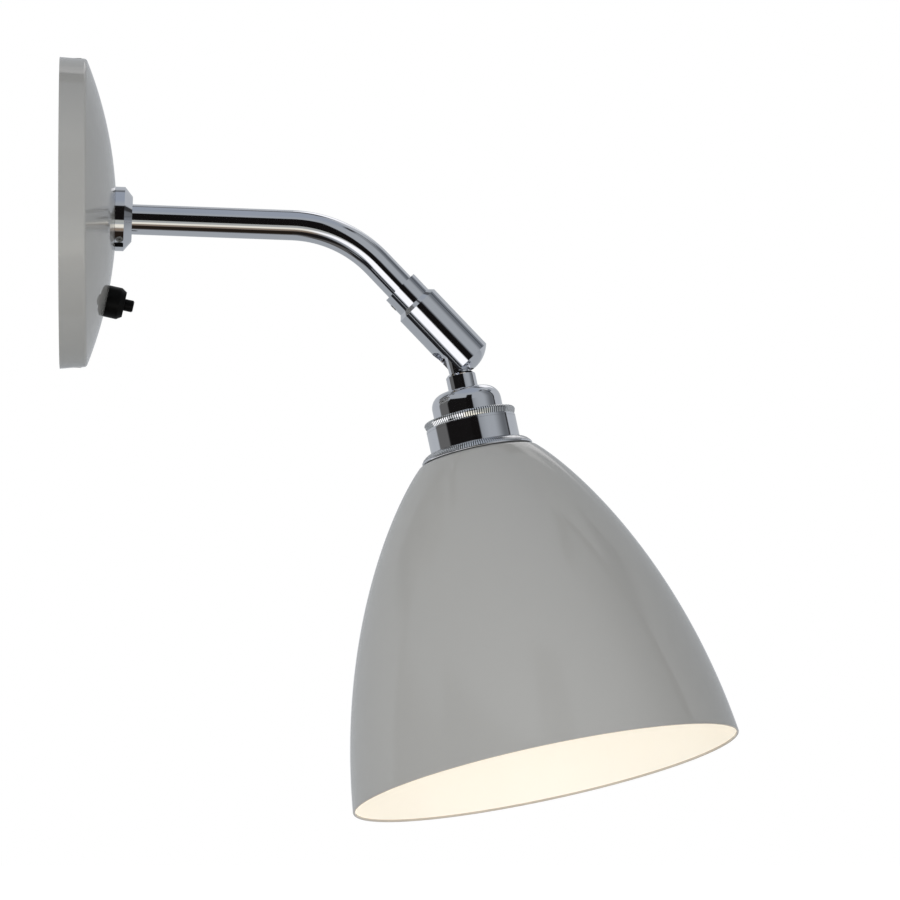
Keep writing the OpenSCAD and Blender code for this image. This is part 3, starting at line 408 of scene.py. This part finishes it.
# Lampholder cap: a domed top, and a bead with flat teeth on its round and its lower bevel.
# The rows close beside each corner keep the long faces flat in shading
CAP_R, CAP_ROUND, BEAD_R, THICK, STUD = 14.7, 6.0, 19.4, 1.2, 4.95
BEAD_ROUND, BEAD_LOW, SKIRT_R = 1.2, 3.15, 19.0
KNURL_DEPTH, KNURL_SHARP, CAP_TEETH, RING_TEETH = 0.3, 40, 120, 150
TOOTH, GROOVE = 5, 4
dome_r, dome_z = CAP_R - CAP_ROUND, CAP_TOP + CAP_ROUND
cap = ([(STUD, CAP_TOP)] + arc(dome_r, dome_z, CAP_ROUND, -90, 0, 16)
       + [(CAP_R, dome_z + 0.3), (CAP_R, BEAD_TOP - 0.7), (CAP_R, BEAD_TOP - 0.5),
          (CAP_R + 0.25, BEAD_TOP - 0.1), (CAP_R + 0.6, BEAD_TOP),
          (BEAD_R - BEAD_ROUND - 0.3, BEAD_TOP)])
knurl_start = len(cap)
cap += arc(BEAD_R - BEAD_ROUND, BEAD_TOP + BEAD_ROUND, BEAD_ROUND, -86, 0, 7)
cap += [(BEAD_R - 0.04, BEAD_TOP + 1.3), (BEAD_R - 0.30, BEAD_TOP + 2.1),
        (BEAD_R - 0.62, BEAD_TOP + 2.95)]
knurl_end = len(cap)
cap += [(BEAD_R - 0.72, BEAD_TOP + BEAD_LOW), (SKIRT_R - 0.3, BEAD_TOP + BEAD_LOW + 0.12),
        (SKIRT_R - 0.3, BEAD_TOP + BEAD_LOW + 0.3), (SKIRT_R, BEAD_TOP + BEAD_LOW + 0.42),
        (SKIRT_R, BEAD_END)]
cap += [(BEAD_R - THICK, BEAD_END), (BEAD_R - THICK, BEAD_TOP + THICK + 1.0),
        (CAP_R - THICK, BEAD_TOP + THICK)]
cap += arc(dome_r, dome_z, CAP_ROUND - THICK, 0, -90, 8) + [(STUD, CAP_TOP + THICK)]


def knurled(name, profile, start, end, teeth, node):
    """A turned piece with flat teeth between grooves on its rows from start to end. The teeth get a
    brighter chrome as a painted glint, and the grooves a near-black chrome as painted shade.
    """
    def ridge(row, step):
        return KNURL_DEPTH if start <= row < end and step % TOOTH == GROOVE else 0.0

    # Groove faces take the painted-shade chrome, the other knurl faces the painted-glint chrome
    def pick(row, step):
        if not start - 1 <= row < end:
            return 0
        return 2 if step % TOOTH in (GROOVE - 1, GROOVE) else 1

    lathe(name, profile, HEAD, [chrome, chrome_tips_painted_glint, chrome_groove_painted_shade], node, "head",
          teeth * TOOTH, pick, ridge, KNURL_SHARP)


knurled("cap_knurled", cap, knurl_start, knurl_end, CAP_TEETH, "lampholder_cap")

# Shade ring: a domed flange with a fine radial knurl, above a narrow shadow gap
RING_R, THREAD_R = 23.6, 18.65
ring = [(THREAD_R, RING_TOP + FIT), (19.35, RING_TOP + FIT)]
ring_start = len(ring)
ring += [(20.1, RING_TOP + 0.15), (21.1, RING_TOP + 0.5), (22.1, RING_TOP + 1.15),
         (22.9, RING_TOP + 1.9), (23.4, RING_TOP + 2.55)]
ring_end = len(ring)
ring += [(RING_R, RING_TOP + 2.85)] + arc(RING_R - 0.3, RING_TOP + 3.25, 0.3, 0, 80, 4)
ring += [(23.0, RING_TOP + 3.58), (22.6, SHADE_TOP), (THREAD_R, SHADE_TOP)]
knurled("shade_ring_knurled", ring, ring_start, ring_end, RING_TEETH, "shade_ring")


# Cables, cores and springs
def bend_path(start, end, steps):
    """The arm's middle line, from start on its first run to end on its second."""
    arm_points = [Vector((0, 0, start)), Vector((0, 0, start + 4))]
    arm_points += [Vector((BEND_R * (1 - cos(a)), 0, ARM_RUN - BEND_REACH + BEND_R * sin(a)))
                   for a in (radians(BEND) * i / steps for i in range(steps + 1))]
    down = Vector((sin(radians(BEND)), 0, cos(radians(BEND))))
    return arm_points + [Vector((0, 0, ARM_RUN)) + (end - 0.8) * down,
                         Vector((0, 0, ARM_RUN)) + end * down]


ALONG_X, ALONG_Y, ALONG_Z = (1, 0, 0), (0, 1, 0), (0, 0, 1)
SHEATH_R, LAMP_SHEATH_R, CORE_R, SHEATH_SIDES = 2.55, 2.58, 0.89, 28
BARREL_FLOOR, SWIVEL_WASHER = 3.5, 0.5
CLIP_TOP = -BARREL_REACH + BARREL_FLOOR + SWIVEL_WASHER + 2 * FIT
SPIGOT_TIP = CLIP_TOP + 1.5
tube("arm_cable_soft", bend_path(-14.5, DROP_RUN + BARREL_REACH + SPIGOT_TIP, 24), SHEATH_R,
     ALONG_Y, ARM, sheath, "arm_cable", "base", SHEATH_SIDES)

ROUTES = {
    "neutral_core": ([(9.1, -1.2, -1.4), (6.6, -1.2, -0.8), (5, -0.6, 4), (5.4, 0, 10),
                      (6.8, 0, 14.5), (7, 0, 21)], ALONG_Y, blue),
    "earth_core": ([(9.1, 1.2, -1.4), (6.8, 1.8, -0.8), (5, 5, 1), (4.2, 8, 4),
                    (3.9, 8.5, 8)], (1, 0, 1), earth_stripes),
    "switched_core": ([(9.1, 0, -3.2), (8.3, 0, -3.3), (6.8, 0.3, -4.6), (5.8, 3.5, -9),
                       (8, 7.8, -17), (12.2, 9.3, -27), (11, 9.3, -32.5), (10.9, 9.3, -33.2)],
                      (0, 1, 0.3), brown),
    "feed_core": ([(7, -8.5, 21), (7, -8.5, 14.5), (6.8, -11, 8), (6.8, -12.5, -4),
                   (8.4, -11, -17), (12.2, -9.3, -27), (11, -9.3, -32.5), (10.9, -9.3, -33.2)],
                  (0.2, 1, 0), brown),
}
for core, (points, side, finish) in ROUTES.items():
    tube(core + "_soft", smooth_path(points, 12), CORE_R, side, ROW, finish, core, "base")

TAG_T, NUT_H, TONGUE_H = 0.7, 3, 4.6
NUT_TOP = CAP_TOP + THICK + TAG_T + 2 * FIT
STUD_END = NUT_TOP + NUT_H + 0.9
CABLE_END = STUD_END + 0.4
tube("lamp_cable_soft",
     [Vector((0, 0, z)) for z in (2, 2.6, 8, 16, CABLE_END - 0.6, CABLE_END)],
     LAMP_SHEATH_R, ALONG_Y, HEAD, sheath, "lamp_cable", "head", SHEATH_SIDES)
core_start = CABLE_END + FIT
terminal_level = BEAD_TOP + 0.2
tag_end = Vector((0, 8.4, CAP_TOP + THICK + FIT + TONGUE_H + 0.1))
holder_points = [[(s * 1.3, -0.6, core_start), (s * 1.4, -0.6, core_start + 1.2),
                  (s * 2.8, -0.3, terminal_level - 0.8), (s * 4.8, 0, terminal_level),
                  (s * 8.2, 0, terminal_level)] for s in (1, -1)]
holder_points.append([(0, 1.4, core_start), (0, 1.6, core_start + 1), (0, 4, core_start + 2.4),
                      (0, 6.8, core_start + 2.2), tag_end + Vector((0, -0.1, 1.4)), tag_end])
holder_looks = [(ALONG_Y, brown), (ALONG_Y, blue), (ALONG_X, earth_stripes)]
for i, (points, (side, finish)) in enumerate(zip(holder_points, holder_looks)):
    tube(f"holder_cores_soft_{i}", smooth_path(points, 10), CORE_R, side, HEAD, finish,
         "holder_cores", "head")


def coil(radius, low, high, turns, steps=32):
    """A wire coil whose end turns lie flat."""
    out = []
    flat = 0.75
    for i in range(turns * steps + 1):
        at = i / steps
        lift = min(max((at - flat) / (turns - 2 * flat), 0.0), 1.0)
        a = 2 * pi * at
        out.append(Vector((radius * cos(a), radius * sin(a), low + (high - low) * lift)))
    return out


# The switch's return spring, which flattens as the button goes in, built here between its floor and
# the plunger
LOCK_NUT_REST, LOCK_NUT_T, PLUNGER_DROP, PLUNGER_T = 1.54, 2.2, 1.5, 1.5
BUTTON_TRAVEL, PRESSED_LEN, BUTTON_WIRE = 2.2, 4.2, 0.25
PLUNGER = -LOCK_NUT_REST - LOCK_NUT_T - PLUNGER_DROP - FIT - PLUNGER_T
SPRING_FLOOR = PLUNGER - BUTTON_TRAVEL - PRESSED_LEN
switch_spring = tube("switch_spring_soft",
                     coil(2.6, SPRING_FLOOR + 0.3, PLUNGER - 0.3, 6), BUTTON_WIRE,
                     ALONG_Z, SWITCH, zinc, "switch_spring", "base", 12)
tuple(SWITCH.to_3x3() @ Vector(ALONG_Z))
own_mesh(switch_spring)

# The spring that presses the pad against the ball
ROOM_END, PRESSURE_WIRE = CLIP_TOP + 2, 0.7
tube("pressure_spring_soft", coil(6.6, ROOM_END + 1.65, -9.3, 4, 48), PRESSURE_WIRE,
     ALONG_Z, BARREL, zinc, "pressure_spring", "barrel", 16)


# Studio

def direction_mask(tree, azimuth_of, height_of, azimuth, height, soft):
    """1 inside a rectangle of directions and 0 outside it, over an edge of soft degrees."""
    beyond = []
    for value, (low, high) in ((azimuth_of, azimuth), (height_of, height)):
        off = add(tree, "ShaderNodeMath", {0: value, 1: (low + high) / 2}, operation="SUBTRACT")
        size = add(tree, "ShaderNodeMath", {0: off.outputs[0]}, operation="ABSOLUTE")
        beyond.append(add(tree, "ShaderNodeMath", {0: size.outputs[0], 1: (high - low) / 2},
                          operation="SUBTRACT").outputs[0])
    far = add(tree, "ShaderNodeMath", {0: beyond[0], 1: beyond[1]}, operation="MAXIMUM")
    return add(tree, "ShaderNodeMapRange",
               {"Value": far.outputs[0], "From Min": -soft / 2, "From Max": soft / 2,
                "To Min": 1.0, "To Max": 0.0}, interpolation_type="SMOOTHSTEP").outputs["Result"]


def seen_directly(tree):
    """1 for rays from the camera, straight or through glass, and 0 for all others."""
    rays = add(tree, "ShaderNodeLightPath").outputs
    return add(tree, "ShaderNodeMath", {0: rays["Is Camera Ray"], 1: rays["Is Transmission Ray"]},
               operation="MAXIMUM").outputs[0]


def mix_shaders(tree, fac, a, b):
    return add(tree, "ShaderNodeMixShader", {0: fac, 1: a, 2: b}).outputs[0]


def backdrop(tree, colour, strength):
    return add(tree, "ShaderNodeBackground", {"Color": colour, "Strength": strength}).outputs[0]


# The studio that metal and gloss mirror: plain grey, with dark and bright panels. Each panel has
# its azimuth from the camera towards the right, its height and its soft edge in degrees
MIRRORED_GREY = (0.41, 0.432, 0.455)
WHITE = (1, 1, 1, 1)
PANELS = [
    ((-185, 185), (64, 95), 24, (0.350, 0.385, 0.445)),
    ((-103, -64), (-14, 20), 8, (0.140, 0.138, 0.135)),
    ((-92, 4), (-80, -48), 10, (0.105, 0.100, 0.095)),
    ((-46, -4), (-72, -40), 12, (0.014, 0.012, 0.012)),
    ((-52, -37), (-42, -32), 4, (0.016, 0.016, 0.018)),
    ((-80, -50), (-54, -37.5), 4, (0.016, 0.016, 0.018)),
    ((-9, 40), (-90, -44), 8, (0.020, 0.014, 0.010)),
    ((76, 116), (-8, 54), 36, (0.150, 0.158, 0.168)),
    ((110, 186), (-14, 64), 2, (0.500, 0.520, 0.545)),
    ((-186, -104), (-12, 32), 4, (0.500, 0.520, 0.545)),
    ((14, 36), (2, 20), 7, (0.080, 0.085, 0.095)),
    ((-67, 4), (-7, 29), 5, (0.009, 0.008, 0.008)),
    ((-4, 18), (-3, 48.5), 4, (0.007, 0.006, 0.006)),
    ((-12, 60), (-16, -4), 3, (0.450, 0.460, 0.435)),
    ((-12, 60), (-33, -19), 6, (1.000, 0.950, 0.820)),
    ((-12, 60), (-44, -33), 8, (0.300, 0.230, 0.170)),
    ((-44, -6), (-29, -2), 4, (1.250, 1.240, 1.260)),
    ((-112, -52), (-36, -14), 3, (1.250, 1.250, 1.270)),
    ((-53, -44), (-30, -14), 3, (1.250, 1.250, 1.270)),
    ((86, 130), (37, 47), 5, (0.170, 0.185, 0.205)),
    ((104, 110), (4, 60), 2, (0.040, 0.040, 0.042)),
    ((70, 104), (60, 65), 3, (0.060, 0.060, 0.065)),
    ((-125, -88), (53, 58), 3, (0.060, 0.060, 0.065)),
    ((-126, -100), (22, 47), 8, (0.120, 0.125, 0.130)),
    ((150, 178), (52, 66), 4, (0.100, 0.105, 0.115)),
    ((-178, -152), (51, 64), 4, (0.100, 0.105, 0.115)),
    ((148, 176), (41, 50), 5, (1.000, 0.990, 1.010)),
    ((158, 176), (24, 50), 5, (1.250, 1.240, 1.260)),
]
world = bpy.data.worlds.new("studio")
bpy.context.scene.world = world
world.use_nodes = True
world_tree = world.node_tree
world_tree.nodes.clear()
ray = add(world_tree, "ShaderNodeSeparateXYZ",
          {0: add(world_tree, "ShaderNodeTexCoord").outputs["Generated"]})
towards = add(world_tree, "ShaderNodeMath", {0: ray.outputs["Y"], 1: -1.0}, operation="MULTIPLY")
sideways = add(world_tree, "ShaderNodeMath", {0: ray.outputs["X"], 1: towards.outputs[0]},
               operation="ARCTAN2")
upwards = add(world_tree, "ShaderNodeMath", {0: ray.outputs["Z"]}, operation="ARCSINE")
azimuth_of, height_of = (add(world_tree, "ShaderNodeMath", {0: angle.outputs[0]},
                             operation="DEGREES").outputs[0] for angle in (sideways, upwards))
studio = add(world_tree, "ShaderNodeRGB").outputs[0]
studio.default_value = (*MIRRORED_GREY, 1)
for azimuth, height, soft, colour in PANELS:
    mix = add(world_tree, "ShaderNodeMix", data_type="RGBA")
    world_tree.links.new(direction_mask(world_tree, azimuth_of, height_of, azimuth, height, soft),
                         mix.inputs["Factor"])
    world_tree.links.new(studio, mix.inputs["A"])
    mix.inputs["B"].default_value = (*colour, 1)
    studio = mix.outputs["Result"]
glossy = add(world_tree, "ShaderNodeLightPath").outputs["Is Glossy Ray"]
unseen = mix_shaders(world_tree, glossy, backdrop(world_tree, WHITE, 0.3),
                     backdrop(world_tree, studio, 1.0))
add(world_tree, "ShaderNodeOutputWorld",
    {"Surface": mix_shaders(world_tree, seen_directly(world_tree), unseen,
                            backdrop(world_tree, WHITE, 1.0))})

# Floor: pale, below the lamp, and it keeps the lamp's shadow
FLOOR = -0.34
floor_finish, floor_tree, floor_shader = material("floor")
floor_shader.inputs["Base Color"].default_value = (0.82, 0.82, 0.81, 1)
floor_shader.inputs["Roughness"].default_value = 0.9
floor_shader.inputs["Specular IOR Level"].default_value = 0.1
lift = add(floor_tree, "ShaderNodeEmission", {"Color": WHITE, "Strength": 0.83}).outputs[0]
nothing = add(floor_tree, "ShaderNodeEmission", {"Color": (0, 0, 0, 1), "Strength": 0.0}).outputs[0]
lifted = add(floor_tree, "ShaderNodeAddShader",
             {0: floor_shader.outputs[0],
              1: mix_shaders(floor_tree, seen_directly(floor_tree), nothing, lift)})
floor_tree.links.new(lifted.outputs[0], floor_tree.nodes["Material Output"].inputs["Surface"])
floor_mesh = bpy.data.meshes.new("floor")
floor_mesh.from_pydata([(-6, -6, FLOOR), (6, -6, FLOOR), (6, 6, FLOOR), (-6, 6, FLOOR)], [],
                       [(0, 1, 2, 3)])
floor_mesh.materials.append(floor_finish)
floor = bpy.data.objects.new("floor", floor_mesh)
bpy.context.scene.collection.objects.link(floor)
floor.visible_glossy = False


# Lights, turned towards the lamp's middle
LAMP_MIDDLE = Vector((0.14, 0.0, -0.06))


def soft_light(name, place, size, watts):
    data = bpy.data.lights.new(name, "AREA")
    data.shape = "RECTANGLE"
    data.size, data.size_y = size
    data.energy = watts
    ob = bpy.data.objects.new(name, data)
    ob.location = place
    ob.rotation_euler = (LAMP_MIDDLE - Vector(place)).to_track_quat("-Z", "Y").to_euler()
    ob.visible_glossy = False
    bpy.context.scene.collection.objects.link(ob)


soft_light("front", (0.27, -0.7, -0.3), (0.4, 0.4), 2.4)
soft_light("high_left", (-0.7, -1.9, 1.3), (1.2, 1.2), 20.5)
soft_light("left", (-1.9, -0.9, 0.2), (1.2, 1.4), 5)
soft_light("left_back", (-2.0, 0.5, 0.0), (1.2, 1.4), 15)
soft_light("right", (1.9, -1.0, 0.2), (1.4, 1.4), 7)
soft_light("top", (0.2, -0.2, 2.1), (1.6, 1.6), 4.5)
